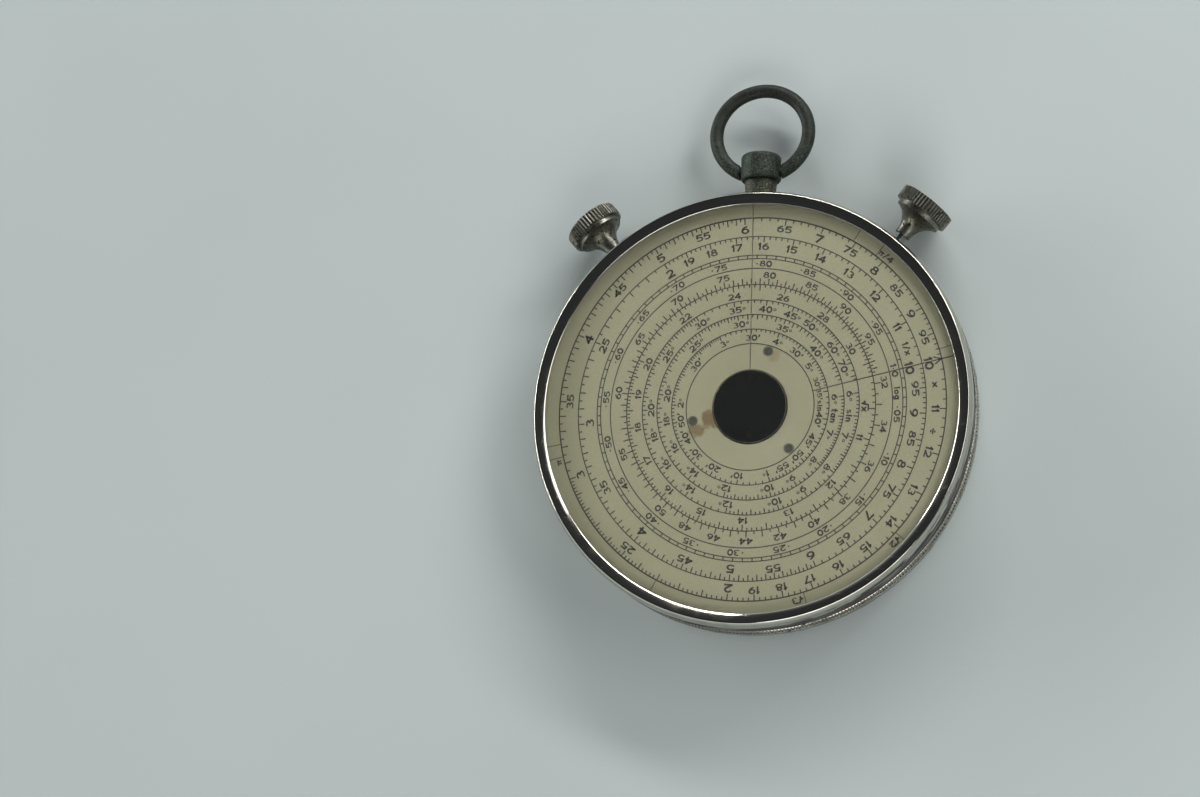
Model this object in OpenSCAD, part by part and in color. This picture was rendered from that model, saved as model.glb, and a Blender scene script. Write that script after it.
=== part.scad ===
// Pocket circular slide rule in a round watch-type case. Two side knobs turn the printed
// dial and the transparent cursor disc through contrate wheels. Millimetres, +Z out of the
// dial, +Y towards the bow, origin at the centre of the flat back.

/* [Case] */
// Outside diameter of the case
case_d = 67; // [64:0.5:72]
// Height of the back cover
back_h = 2.8; // [2.6:0.1:3.4]
// Thickness of the back cover's floor
back_t = 0.8; // [0.6:0.05:1]
// Rounding of the back cover's edge
back_round = 2.4; // [1.6:0.1:2.5]
// Step from the band in to the back cover
cover_step = 0.2; // [0.1:0.05:0.3]
// Height of the case band between back cover and bezel
band_h = 4.6; // [4.5:0.1:5.2]
// Rounding of the band's lower edge
band_round = 0.4; // [0.2:0.05:0.5]
// Wall of the band's spigot inside the bezel
spigot_t = 0.6; // [0.5:0.05:0.7]
// Width of the band's inner flange
flange_w = 2.2; // [2:0.1:2.4]
// Rise of the inner flange over the foot of the band
flange_rise = 0.5; // [0.4:0.05:0.6]
// Height of the milled strip round the band
mill_h = 1.9; // [1.2:0.1:2.2]
// Number of notches round the milled strip
mill_count = 396; // [240:12:420]
// Depth of each milled notch
mill_depth = 0.12; // [0.06:0.01:0.2]
// Step from the band's surface in to the milled strip
mill_step = 0.03; // [0.02:0.01:0.05]
// Height of the groove under the bezel
groove_h = 1; // [0.6:0.1:1.2]
// Depth of the groove under the bezel
groove_depth = 0.6; // [0.3:0.05:0.65]

/* [Bezel and glass] */
// Wall of the bezel's skirt
bezel_wall = 0.85; // [0.8:0.05:1]
// Width of the bezel seen from the front
bezel_w = 2; // [1.8:0.1:2.4]
// Height of the bezel's ridge over its inner lip
bezel_rise = 0.42; // [0.3:0.02:0.6]
// Height of the crowned part of the bezel's outside
crown_h = 1.6; // [1.2:0.1:2]
// Width of the crowned part of the bezel's outside
crown_w = 0.56; // [0.4:0.02:0.7]
// Rounding of the skirt's lower edge
skirt_round = 0.3; // [0.2:0.05:0.5]
// Thickness of the bezel's lip over the glass
lip_t = 0.25; // [0.2:0.05:0.4]
// Width of the lip's inner bevel
lip_bevel_w = 0.36; // [0.25:0.01:0.45]
// Height of the lip's thin edge under the bevel
lip_edge_h = 0.06; // [0.04:0.01:0.1]
// Thickness of the glass
glass_t = 0.7; // [0.5:0.1:1]
// Width of the hairline and the datum line
line_w = 0.07; // [0.05:0.01:0.15]
// Thickness of the hairline and the datum line
line_t = 0.05; // [0.03:0.01:0.08]

/* [Dial and cursor] */
// Thickness of the printed dial card
card_t = 0.35; // [0.25:0.05:0.5]
// Thickness of the dial plate under the card
plate_t = 1; // [0.7:0.1:1.4]
// Diameter of the dial rivets' heads
rivet_d = 1.36; // [1.2:0.02:1.6]
// Diameter of the dial rivets' shanks
rivet_shank_d = 0.9; // [0.7:0.05:1]
// Height of the dial rivets' heads
rivet_head_h = 0.18; // [0.14:0.01:0.22]
// How far the rivet heads stand out of the card
rivet_proud = 0.03; // [0.02:0.01:0.06]
// Height of the rivets' tails under the wheel
rivet_tail_h = 0.25; // [0.2:0.05:0.4]
// Diameter of the circle that the dial rivets lie on
rivet_circle_d = 17.8; // [16:0.2:20]
// Clockwise turn of the dial's index from the datum line
index_turn = 77.28; // [0:0.01:120]
// Diameter of the black disc at the centre
centre_d = 11.2; // [10:0.2:12]
// Thickness of the black disc at the centre
centre_t = 0.9; // [0.7:0.1:1.1]
// Thickness of the transparent cursor disc
cursor_t = 0.25; // [0.2:0.05:0.4]
// Diameter of the cursor screws' heads
cursor_screw_head_d = 1.1; // [0.9:0.05:1.3]
// Diameter of the cursor screws' shanks
cursor_screw_d = 0.7; // [0.5:0.05:0.8]
// Length of the cursor screws' shanks
cursor_screw_l = 0.45; // [0.3:0.05:0.6]
// Distance of the cursor screws from the black disc's edge
cursor_screw_inset = 1.3; // [1:0.1:1.6]

/* [Drive] */
// Angle of the dial knob from the pendant
dial_stem_angle = 38.8; // [34:0.2:48]
// Angle of the cursor knob from the pendant
cursor_stem_angle = 40.5; // [34:0.1:48]
// Diameter of the knob stems
stem_d = 1.6; // [1.4:0.05:1.7]
// Diameter of the centre arbor
arbor_d = 2.5; // [2:0.1:3]
// Distance from the band's flange in to the dial wheel's teeth
wheel_margin = 2; // [1:0.25:3]
// Distance between the pitch circles of the two wheels
wheel_step = 7; // [6:0.2:8]
// Gear module of the dial drive
dial_module = 0.5; // [0.48:0.01:0.52]
// Teeth on the dial pinion
dial_pinion_teeth = 9; // [8:1:10]
// Gear module of the cursor drive
cursor_module = 0.4; // [0.38:0.01:0.42]
// Teeth on the cursor pinion
cursor_pinion_teeth = 8; // [7:1:8]
// Width of the wheel teeth along the stems
tooth_face = 1.2; // [1:0.1:1.4]
// Tooth height over the pitch line, in modules
addendum = 0.8; // [0.7:0.05:0.85]
// Tooth depth under the pitch line, in modules
dedendum = 1.1; // [1.05:0.05:1.2]
// Flank angle of the wheel teeth
flank = 20; // [18:1:22]
// Share of half the pitch that a tooth fills
tooth_fill = 0.75; // [0.7:0.01:0.8]
// Width of a pinion tooth's tip as a share of its foot
tip_share = 0.45; // [0.4:0.01:0.5]
// Thickness of the dial wheel's web
dial_web_t = 0.7; // [0.5:0.1:0.9]
// Thickness of the cursor wheel's web
cursor_web_t = 0.6; // [0.5:0.05:0.7]
// Height of the cursor wheel's hub
cursor_hub_h = 1.9; // [1.4:0.1:2.4]
// Wall of the wheel hubs and of the dial pipe
hub_wall = 1.75; // [1.4:0.05:2]
// Plain rim of the wheels outside the teeth
rim_out = 0.5; // [0.3:0.1:0.8]
// Plain rim of the wheels inside the teeth
rim_in = 2; // [1.6:0.1:2.4]
// Width of the plain web round the rivets and round the cursor wheel's hub
web_land = 2.2; // [1.8:0.1:2.6]
// Arms of the dial wheel
dial_arms = 6; // [5:1:8]
// Arms of the cursor wheel
cursor_arms = 5; // [4:1:6]
// Angle that an arm fills
arm_angle = 15; // [12:1:18]

/* [Base plate] */
// Thickness of the base plate
base_t = 0.9; // [0.7:0.05:1]
// Wall of the centre bearing
bearing_wall = 1; // [0.8:0.1:1.2]
// Width of the centre bearing's flange
bearing_flange = 1; // [0.8:0.1:1.4]
// Thickness of the stem cock along the stem
cock_t = 1.4; // [1.3:0.1:1.8]
// Wall of the stem cock round the stem
cock_wall = 1.3; // [1.1:0.1:1.6]
// Diameter of the plate screws
screw_d = 1; // [0.8:0.05:1.1]
// Diameter of the plate screws' heads
screw_head_d = 2; // [1.7:0.1:2.2]
// Height of the plate screws' heads
screw_head_h = 0.5; // [0.4:0.05:0.6]
// Length of the plate screws past the base plate
screw_bite = 1; // [0.8:0.1:1.1]

/* [Knobs] */
// Outside diameter of the knobs
knob_d = 8.8; // [8:0.1:9.6]
// Length of a knob from its neck to its outer face
knob_l = 6.4; // [6:0.1:6.8]
// Height of the knurled head
knurl_h = 2.1; // [1.6:0.1:2.2]
// Number of notches round a knob
knurl_count = 52; // [40:2:60]
// Depth of each knurled notch
knurl_depth = 0.22; // [0.1:0.02:0.3]
// Chamfer at both ends of the knurled head
knurl_edge = 0.1; // [0.05:0.05:0.2]
// Height of the smooth shoulder under the knurled head
shoulder_h = 0.5; // [0.3:0.05:0.6]
// Step from the knurled head in to the shoulder
shoulder_step = 0.7; // [0.3:0.05:0.9]
// Rounding of the trumpet between neck and shoulder
flare_r = 3.6; // [3.2:0.1:3.6]
// Diameter of a knob's neck at its end
knob_neck_d = 2.5; // [2.3:0.1:3]
// Metal left between a stem's end and the knob's outer face
knob_end_t = 1.4; // [1:0.1:1.8]
// Height of the raised centre on the knob's outer face
button_h = 0.15; // [0.1:0.05:0.3]
// Distance of the raised centre from the knurled edge
button_inset = 0.6; // [0.4:0.1:1]
// Distance from the case to a knob's neck
knob_out = 1.6; // [1.2:0.1:2]
// Outside diameter of the stem bushes
bush_d = 2.6; // [2.4:0.1:3]
// Reach of the stem bushes out of the case
bush_out = 0.3; // [0.2:0.05:0.6]
// Reach of the cursor stem's bush into the case
bush_in = 2; // [1.5:0.1:3]

/* [Pendant and bow] */
// Diameter of the pendant neck at the case
neck_foot_d = 4.4; // [4:0.1:4.4]
// Diameter of the pendant neck under the barrel
neck_top_d = 5; // [4.6:0.1:5.4]
// Length of the pendant neck out of the case
neck_l = 3.4; // [2.8:0.1:4.2]
// Diameter of the neck's tenon in the band
tenon_d = 3; // [2.6:0.1:3.4]
// Diameter of the pendant barrel
barrel_d = 6.2; // [5.8:0.1:6.6]
// Height of the pendant barrel
barrel_h = 4.2; // [3.8:0.1:4.8]
// Rounding of the barrel's top edge
barrel_round = 0.6; // [0.4:0.1:1]
// Rounding of the barrel's foot
barrel_foot_round = 0.4; // [0.2:0.05:0.5]
// Diameter of the barrel's spigot in the neck
barrel_spigot_d = 2.6; // [2.2:0.1:3]
// Length of the barrel's spigot in the neck
barrel_spigot_l = 1; // [0.8:0.1:1.4]
// Height of the bow's pivot over the foot of the barrel
pivot_h = 1.5; // [1.4:0.1:1.8]
// Thickness of the bow's wire
bow_wire = 2.1; // [1.8:0.1:2.2]
// Outside width of the bow
bow_w = 16.6; // [14:0.1:19]
// Angle that the bow leans back at rest
bow_lean = 5; // [0:1:12]
// Step from the bow's wire in to its pins
pin_step = 0.15; // [0.1:0.05:0.25]
// Length of the bow's pins in the barrel
pin_l = 1.4; // [1:0.1:1.6]

/* [Clearances] */
// Play between faces that seat on each other
seat_gap = 0.05; // [0.03:0.01:0.08]
// Radial play of the shafts in their bearings
run_gap = 0.03; // [0.02:0.01:0.04]
// Radial play of the bow's pins
pin_gap = 0.06; // [0.04:0.01:0.08]
// End play of the stems, the cursor disc and the bow
end_gap = 0.15; // [0.1:0.01:0.2]
// Gap round the dial's edge
dial_edge_gap = 0.4; // [0.3:0.05:0.5]
// Gap between the dial's face and the cursor disc
cursor_gap = 0.2; // [0.15:0.01:0.3]
// Gap between the cursor disc and the glass
glass_gap = 0.13; // [0.12:0.01:0.2]
// Gap round the black centre disc
centre_gap = 0.15; // [0.1:0.01:0.25]
// Gap between the back cover's floor and the base plate
base_gap = 0.3; // [0.2:0.05:0.4]
// Gap between the wheels and what they turn past
wheel_gap = 0.3; // [0.2:0.05:0.4]

/* [Hidden] */
$fn = 96;

// How far a cutter runs past the face that it cuts
cut = 0.5;

// Heights from the back, upwards
band_top = back_h + band_h;
stem_z = back_h + band_h / 2;
base_z = back_t + base_gap;
base_top = base_z + base_t;
cursor_pinion_r = cursor_module * cursor_pinion_teeth / 2;
cursor_root_z = stem_z - cursor_pinion_r - dedendum * cursor_module;
cursor_web_z = cursor_root_z - cursor_web_t;
cursor_hub_top = cursor_web_z + cursor_hub_h;
bearing_top = cursor_web_z - seat_gap;
dial_pinion_r = dial_module * dial_pinion_teeth / 2;
dial_root_z = stem_z + dial_pinion_r + dedendum * dial_module;
plate_z = dial_root_z + dial_web_t;
card_z = plate_z + plate_t;
dial_face_z = card_z + card_t;
cursor_z = dial_face_z + cursor_gap;
centre_z = cursor_z - centre_t;
glass_z = cursor_z + cursor_t + glass_gap;
glass_top = glass_z + glass_t;
lip_top = glass_top + lip_t;
bezel_top = lip_top + bezel_rise;
bezel_z = band_top + seat_gap;
spigot_top = plate_z - wheel_gap;
mill_top = band_top - groove_h;
mill_z = mill_top - mill_h;

// Radii from the outside, inwards
case_r = case_d / 2;
cover_r = case_r - cover_step;
groove_r = case_r - groove_depth;
bezel_in_r = case_r - bezel_wall;
spigot_r = bezel_in_r - seat_gap;
band_in_r = spigot_r - spigot_t;
flange_r = band_in_r - cover_step;
flange_in_r = flange_r - flange_w;
base_r = flange_r - seat_gap;
lip_r = case_r - bezel_w;
dial_r = bezel_in_r - dial_edge_gap;
glass_r = bezel_in_r - run_gap;
ring_in_r = lip_r + dial_edge_gap;
cursor_r = ring_in_r - end_gap;
centre_hole_r = centre_d / 2 + centre_gap;
arbor_bore_d = arbor_d + 2 * run_gap;
stem_bore_d = stem_d + 2 * run_gap;

// Drive train, out from the centre
dial_az = 90 - dial_stem_angle;
cursor_az = 90 + cursor_stem_angle;
hub_r = arbor_d / 2 + hub_wall;
bearing_r = arbor_d / 2 + bearing_wall;
half_face = tooth_face / 2;
dial_teeth = round(2 * (flange_in_r - wheel_margin - half_face) / dial_module);
dial_wheel_r = dial_module * dial_teeth / 2;
cursor_teeth = round(2 * (dial_wheel_r - wheel_step) / cursor_module);
cursor_wheel_r = cursor_module * cursor_teeth / 2;
cock_a = cursor_wheel_r + half_face + rim_out + wheel_gap;
cock_w = stem_bore_d + 2 * cock_wall;
bush_end = case_r + bush_out;
dial_bush_a = dial_wheel_r + half_face + end_gap;
cursor_bush_a = band_in_r - bush_in;
knob_a = case_r + knob_out;
stem_end = knob_a + knob_l - knob_end_t;
screw_l = base_t + screw_bite;
plate_screw_az = [30, 150, 270];
plate_screw_r = (flange_r + flange_in_r) / 2;
rivet_az = [for (k = [0:2]) 90 - index_turn - 60 - 120 * k];

// Pendant and bow
pendant_a = case_r + neck_l;
spigot_a = pendant_a - barrel_spigot_l;
pivot_y = pendant_a + pivot_h;
pin_d = bow_wire - 2 * pin_step;
bow_r = (bow_w - bow_wire) / 2;
bow_end_x = barrel_d / 2 + end_gap;
bow_centre = sqrt(bow_r * bow_r - bow_end_x * bow_end_x);
// How far a pin runs into the bow's wire
pin_root = 0.3;

// A ring between two heights, or a disc where the inner radius is 0
module ring(r_out, r_in, z0, z1) {
    translate([0, 0, z0]) difference() {
        cylinder(r = r_out, h = z1 - z0);
        if (r_in > 0) translate([0, 0, -cut]) cylinder(r = r_in, h = z1 - z0 + 2 * cut);
    }
}

// What a rounding of radius r takes off the corner at the origin of a profile that lies at +X +Y
module corner_waste(r) {
    difference() {
        translate([-cut, -cut]) square(r + cut);
        translate([r, r]) circle(r);
    }
}

// Outline of a disc with V notches all round
module notched_disc(r, depth, count) {
    polygon([for (i = [0:2 * count - 1])
        let (a = i * 180 / count, p = i % 2 == 0 ? r : r - depth) [p * cos(a), p * sin(a)]]);
}

// Turns children so that their Z runs out from the centre along a stem at this azimuth
module on_stem(az) {
    translate([0, 0, stem_z]) rotate([0, 0, az]) rotate([0, 90, 0]) children();
}

// A round bar along a stem, between two distances from the centre
module stem_bar(diameter, a0, a1) {
    translate([0, 0, a0]) cylinder(d = diameter, h = a1 - a0);
}

// Corners of one pinion tooth, as radius and angle
function tooth_corners(m, count) =
    let (r = m * count / 2, half = 90 / count * tooth_fill, tip = half * tip_share)
    [[r - dedendum * m, -half], [r, -half], [r + addendum * m, -tip],
     [r + addendum * m, tip], [r, half], [r - dedendum * m, half]];

// A pinion at a distance from the centre, with a tooth gap turned to the mesh
module pinion(m, count, at, mesh_turn) {
    difference() {
        translate([0, 0, at - half_face]) linear_extrude(tooth_face)
            polygon([for (i = [0:count - 1]) for (p = tooth_corners(m, count))
                let (a = mesh_turn + (i + 0.5) * 360 / count + p[1]) [p[0] * cos(a), p[0] * sin(a)]]);
        stem_bar(stem_d, at - half_face - cut, at + half_face + cut);
    }
}

// Contrate teeth that stand up from z = 0 and reach down to -root, with a tooth at this azimuth
module contrate_teeth(m, count, az, root) {
    r_in = m * count / 2 - half_face;
    tooth_h = (addendum + dedendum) * m;
    gap = PI * m * (1 - tooth_fill / 2) / 2;
    foot = gap - dedendum * m * tan(flank);
    mouth = gap + (addendum * m + cut) * tan(flank);
    difference() {
        ring(r_in + tooth_face, r_in, -root, tooth_h);
        for (i = [0:count - 1]) rotate([0, 0, az + (i + 0.5) * 360 / count])
            translate([r_in - cut, 0, 0]) rotate([90, 0, 90]) linear_extrude(tooth_face + 2 * cut)
                polygon([[-foot, 0], [foot, 0], [mouth, tooth_h + cut], [-mouth, tooth_h + cut]]);
    }
}

// Openings between a wheel's arms
module crossings(r_in, r_out, arms, z0, z1) {
    for (i = [0:arms - 1]) rotate([0, 0, i * 360 / arms + arm_angle / 2])
        rotate_extrude(angle = 360 / arms - arm_angle)
            translate([r_in, z0 - cut]) square([r_out - r_in, z1 - z0 + 2 * cut]);
}

// A countersunk screw that points up from z = 0
module sunk_screw() {
    cylinder(d1 = screw_head_d, d2 = screw_d, h = screw_head_h);
    cylinder(d = screw_d, h = screw_l);
}

module plate_screw_places() {
    for (az = plate_screw_az) rotate([0, 0, az]) translate([plate_screw_r, 0, base_z]) children();
    rotate([0, 0, cursor_az]) translate([cock_a + cock_t / 2, 0, base_z]) children();
}

module rivet_places() {
    for (az = rivet_az) rotate([0, 0, az]) translate([rivet_circle_d / 2, 0, 0]) children();
}

module cursor_screw_places() {
    for (side = [-1, 1]) translate([0, side * (centre_d / 2 - cursor_screw_inset), 0]) children();
}

// Case band: milled strip, groove, bezel spigot and the flange that carries the base plate
module case_band() color("silver") difference() {
    union() {
        rotate_extrude() difference() {
            union() {
                translate([band_in_r, back_h]) square([case_r - band_in_r, mill_z - back_h]);
                translate([band_in_r, back_h]) square([groove_r - band_in_r, band_h]);
                translate([band_in_r, back_h]) square([spigot_t, spigot_top - back_h]);
                translate([flange_in_r, base_top]) square([flange_w, back_h + flange_rise - base_top]);
                translate([flange_in_r, back_h]) square([band_in_r + spigot_t - flange_in_r, flange_rise]);
            }
            translate([case_r, back_h]) mirror([1, 0]) corner_waste(band_round);
        }
        translate([0, 0, mill_z]) linear_extrude(mill_h) difference() {
            notched_disc(case_r - mill_step, mill_depth, mill_count);
            circle((band_in_r + groove_r) / 2);
        }
    }
    for (az = [dial_az, cursor_az]) on_stem(az) stem_bar(bush_d, band_in_r - cut, bush_end);
    on_stem(90) stem_bar(tenon_d, band_in_r - cut, pendant_a);
    plate_screw_places() cylinder(d = screw_d, h = screw_l);
}

// Back cover: snaps over the band's flange and makes the flat back
module back_cover() color("gainsboro") rotate_extrude() difference() {
    square([cover_r, back_h - seat_gap]);
    translate([cover_r, 0]) mirror([1, 0]) corner_waste(back_round);
    translate([-cut, back_t]) square([flange_r + seat_gap + cut, back_h]);
}

// Front bezel: straight skirt, crowned ridge, and a face that slopes in to the bevelled lip
module front_bezel() color("gainsboro") rotate_extrude() difference() {
    crown_r = (crown_w * crown_w + crown_h * crown_h) / (2 * crown_w);
    intersection() {
        translate([lip_r, bezel_z]) square([bezel_w, bezel_top - bezel_z]);
        union() {
            translate([0, bezel_z]) square([case_r, bezel_top - crown_h - bezel_z]);
            translate([case_r - crown_r, bezel_top - crown_h]) circle(crown_r);
        }
    }
    translate([0, bezel_z - cut]) square([bezel_in_r, glass_top - bezel_z + cut]);
    polygon([[lip_r - cut, glass_top + lip_edge_h], [lip_r, glass_top + lip_edge_h],
             [lip_r + lip_bevel_w, lip_top], [case_r - crown_w, bezel_top],
             [case_r - crown_w, bezel_top + cut], [lip_r - cut, bezel_top + cut]]);
    translate([case_r, bezel_z]) mirror([1, 0]) corner_waste(skirt_round);
}

// Flat glass under the bezel's lip
module front_glass() color("azure", 0.3) ring(glass_r, 0, glass_z, glass_top);

// Spring ring that holds the glass up against the lip
module glass_ring() color("silver") ring(glass_r, ring_in_r, cursor_z, glass_z);

// A fine line along +Y that hangs from a face at this height
module reading_line(z) {
    translate([-line_w / 2, centre_hole_r, z - line_t]) cube([line_w, lip_r - centre_hole_r, line_t]);
}

// Fixed reading line on the underside of the glass
module datum_line() color("black") reading_line(glass_z);

// Base plate under the wheels, screwed to the band's flange
module base_plate() color("goldenrod") difference() {
    ring(base_r, bearing_r, base_z, base_top);
    plate_screw_places() sunk_screw();
}

// Countersunk screws of the base plate and of the stem cock
module plate_screws() color("slategray") plate_screw_places() sunk_screw();

// Flanged bearing of the centre arbor
module centre_bearing() color("darkgoldenrod") difference() {
    union() {
        ring(bearing_r, 0, base_z, bearing_top);
        ring(bearing_r + bearing_flange, 0, base_top, bearing_top);
    }
    ring(arbor_bore_d / 2, 0, base_z - cut, bearing_top + cut);
}

// Bearing block for the inner end of the long cursor stem
module stem_cock() color("goldenrod") difference() {
    union() {
        rotate([0, 0, cursor_az]) translate([cock_a, -cock_w / 2, base_top])
            cube([cock_t, cock_w, stem_z - base_top]);
        on_stem(cursor_az) stem_bar(cock_w, cock_a, cock_a + cock_t);
    }
    on_stem(cursor_az) stem_bar(stem_bore_d, cock_a - cut, cock_a + cock_t + cut);
    plate_screw_places() cylinder(d = screw_d, h = screw_l);
}

// Bearing bush of a stem in the case wall
module stem_bush(az, inner_end) color("rosybrown") on_stem(az) difference() {
    stem_bar(bush_d, inner_end, bush_end);
    stem_bar(stem_bore_d, inner_end - cut, bush_end + cut);
}

module dial_stem_bush() stem_bush(dial_az, dial_bush_a);

module cursor_stem_bush() stem_bush(cursor_az, cursor_bush_a);

// Tapered neck of the pendant, tenoned into the band and saddled on its outside
module pendant_neck() color("darkolivegreen") difference() {
    union() {
        difference() {
            on_stem(90) translate([0, 0, case_r - cut])
                cylinder(d1 = neck_foot_d, d2 = neck_top_d, h = neck_l + cut);
            cylinder(r = case_r, h = bezel_top);
        }
        on_stem(90) stem_bar(tenon_d, band_in_r, spigot_a - end_gap);
    }
    on_stem(90) stem_bar(barrel_spigot_d, spigot_a - seat_gap, pendant_a + cut);
}

// Barrel of the pendant, with the blind holes of the bow
module pendant_barrel() color("darkslategray") difference() {
    on_stem(90) rotate_extrude() difference() {
        union() {
            translate([0, pendant_a]) square([barrel_d / 2, barrel_h]);
            translate([0, spigot_a]) square([barrel_spigot_d / 2, barrel_spigot_l + cut]);
        }
        translate([barrel_d / 2, pendant_a + barrel_h]) rotate(180) corner_waste(barrel_round);
        translate([barrel_d / 2, pendant_a]) mirror([1, 0]) corner_waste(barrel_foot_round);
    }
    for (side = [0, 1]) mirror([side, 0, 0]) translate([barrel_d / 2 - pin_l - end_gap, pivot_y, stem_z])
        rotate([0, 90, 0]) cylinder(d = pin_d + 2 * pin_gap, h = barrel_d);
}

// Wire bow that swings in the barrel: a ring cut flat beside the barrel, with a pin at each end
module bow() color("darkslategray") translate([0, pivot_y, stem_z]) rotate([-bow_lean, 0, 0]) {
    difference() {
        translate([0, bow_centre, 0]) rotate_extrude() translate([bow_r, 0]) circle(d = bow_wire);
        translate([-bow_end_x, bow_centre - bow_w, -bow_wire]) cube([2 * bow_end_x, bow_w, 2 * bow_wire]);
    }
    for (side = [0, 1]) mirror([side, 0, 0]) translate([barrel_d / 2 - pin_l, 0, 0]) rotate([0, 90, 0])
        cylinder(d = pin_d, h = pin_l + end_gap + pin_root);
}

// Printed dial card, with pockets for the rivet heads
module dial_card() color("wheat") difference() {
    ring(dial_r, centre_hole_r, card_z, dial_face_z);
    rivet_places() translate([0, 0, card_z - cut]) cylinder(d = rivet_shank_d, h = card_t + cut);
    rivet_places() translate([0, 0, dial_face_z + rivet_proud - rivet_head_h]) cylinder(d = rivet_d, h = cut);
}

// Plate that stiffens the card
module dial_plate() color("lightgray") difference() {
    ring(dial_r, centre_hole_r, plate_z, card_z);
    rivet_places() translate([0, 0, plate_z - cut]) cylinder(d = rivet_shank_d, h = plate_t + 2 * cut);
}

// Contrate wheel under the dial, teeth down
module dial_wheel() color("gold") {
    difference() {
        ring(dial_wheel_r + half_face + rim_out, hub_r, dial_root_z, plate_z);
        crossings(rivet_circle_d / 2 + web_land, dial_wheel_r - half_face - rim_in, dial_arms, dial_root_z, plate_z);
        rivet_places() translate([0, 0, dial_root_z - cut]) cylinder(d = rivet_shank_d, h = dial_web_t + 2 * cut);
    }
    translate([0, 0, dial_root_z]) mirror([0, 0, 1])
        contrate_teeth(dial_module, dial_teeth, dial_az, dial_web_t / 2);
}

// Pipe that carries the dial wheel on the centre arbor
module dial_pipe() color("darkgoldenrod")
    ring(hub_r, arbor_bore_d / 2, cursor_hub_top + seat_gap, centre_z - seat_gap);

// Rivets through card, plate and wheel
module dial_rivets() color("dimgray") rivet_places() {
    translate([0, 0, dial_face_z + rivet_proud - rivet_head_h]) cylinder(d = rivet_d, h = rivet_head_h);
    translate([0, 0, dial_root_z - rivet_tail_h])
        cylinder(d = rivet_shank_d, h = dial_face_z - dial_root_z + rivet_tail_h);
    translate([0, 0, dial_root_z - rivet_tail_h]) cylinder(d = rivet_d, h = rivet_tail_h);
}

// Transparent cursor disc
module cursor_disc() color("lightyellow", 0.25) difference() {
    ring(cursor_r, 0, cursor_z, cursor_z + cursor_t);
    cursor_screw_places() translate([0, 0, cursor_z - cut])
        cylinder(d = cursor_screw_head_d, h = cursor_t + 2 * cut);
}

// Hairline on the underside of the cursor disc
module cursor_hairline() color("black") reading_line(cursor_z);

// Screws that hold the cursor disc to the black disc
module cursor_screws() color("dimgray") cursor_screw_places() {
    translate([0, 0, cursor_z]) cylinder(d = cursor_screw_head_d, h = cursor_t);
    translate([0, 0, cursor_z - cursor_screw_l]) cylinder(d = cursor_screw_d, h = cursor_screw_l);
}

// Black disc on top of the arbor, seen through the dial's centre hole
module centre_disc() color("black") difference() {
    ring(centre_d / 2, arbor_d / 2, centre_z, cursor_z);
    cursor_screw_places() translate([0, 0, cursor_z - cursor_screw_l])
        cylinder(d = cursor_screw_d, h = cursor_screw_l + cut);
}

// Centre arbor that joins the cursor wheel to the black disc
module cursor_arbor() color("slategray") ring(arbor_d / 2, 0, base_z, cursor_z - seat_gap);

// Contrate wheel of the cursor, teeth up
module cursor_wheel() color("gold") {
    difference() {
        union() {
            ring(cursor_wheel_r + half_face + rim_out, 0, cursor_web_z, cursor_root_z);
            ring(hub_r, 0, cursor_web_z, cursor_hub_top);
        }
        ring(arbor_d / 2, 0, cursor_web_z - cut, cursor_hub_top + cut);
        crossings(hub_r + web_land, cursor_wheel_r - half_face - rim_in, cursor_arms, cursor_web_z, cursor_root_z);
    }
    translate([0, 0, cursor_root_z])
        contrate_teeth(cursor_module, cursor_teeth, cursor_az, cursor_web_t / 2);
}

// Knob with a knurled head, a smooth shoulder and a trumpet neck
module knob(az) color("darkgray") on_stem(az) translate([0, 0, knob_a]) {
    head_z = knob_l - knurl_h;
    flare_z = head_z - shoulder_h - flare_r;
    knob_r = knob_d / 2;
    neck_r = knob_neck_d / 2;
    button_r = knob_r - button_inset;
    difference() {
        union() {
            rotate_extrude() difference() {
                square([knob_r - shoulder_step, head_z]);
                translate([neck_r + flare_r, flare_z]) circle(flare_r);
                translate([neck_r, -cut]) square([knob_r, flare_z + cut]);
                translate([neck_r + flare_r, -cut]) square([knob_r, head_z - shoulder_h + cut]);
            }
            translate([0, 0, head_z]) intersection() {
                linear_extrude(knurl_h) notched_disc(knob_r, knurl_depth, knurl_count);
                rotate_extrude() polygon([[0, 0], [knob_r - knurl_edge, 0], [knob_r + knurl_edge, 2 * knurl_edge],
                    [knob_r + knurl_edge, knurl_h - 2 * knurl_edge], [knob_r - knurl_edge, knurl_h], [0, knurl_h]]);
            }
            translate([0, 0, knob_l]) cylinder(r1 = button_r, r2 = button_r - button_inset, h = button_h);
        }
        translate([0, 0, -cut]) cylinder(d = stem_d, h = knob_l - knob_end_t + cut);
    }
}

module dial_knob() knob(dial_az);

module cursor_knob() knob(cursor_az);

// Stem from a pinion's inner face to the bottom of a knob's bore
module stem(az, wheel_r) color("slategray") on_stem(az) stem_bar(stem_d, wheel_r - half_face, stem_end);

module dial_stem() stem(dial_az, dial_wheel_r);

module cursor_stem() stem(cursor_az, cursor_wheel_r);

// Dial pinion, in mesh with the wheel over it
module dial_pinion() color("darkkhaki") on_stem(dial_az)
    pinion(dial_module, dial_pinion_teeth, dial_wheel_r, 180);

// Cursor pinion, in mesh with the wheel under it, with a plain boss that runs against the cock
module cursor_pinion() color("darkkhaki") on_stem(cursor_az) {
    boss_r = cursor_pinion_r - dedendum * cursor_module;
    pinion(cursor_module, cursor_pinion_teeth, cursor_wheel_r, 0);
    ring(boss_r, stem_d / 2, cursor_wheel_r, cock_a - end_gap);
}

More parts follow.
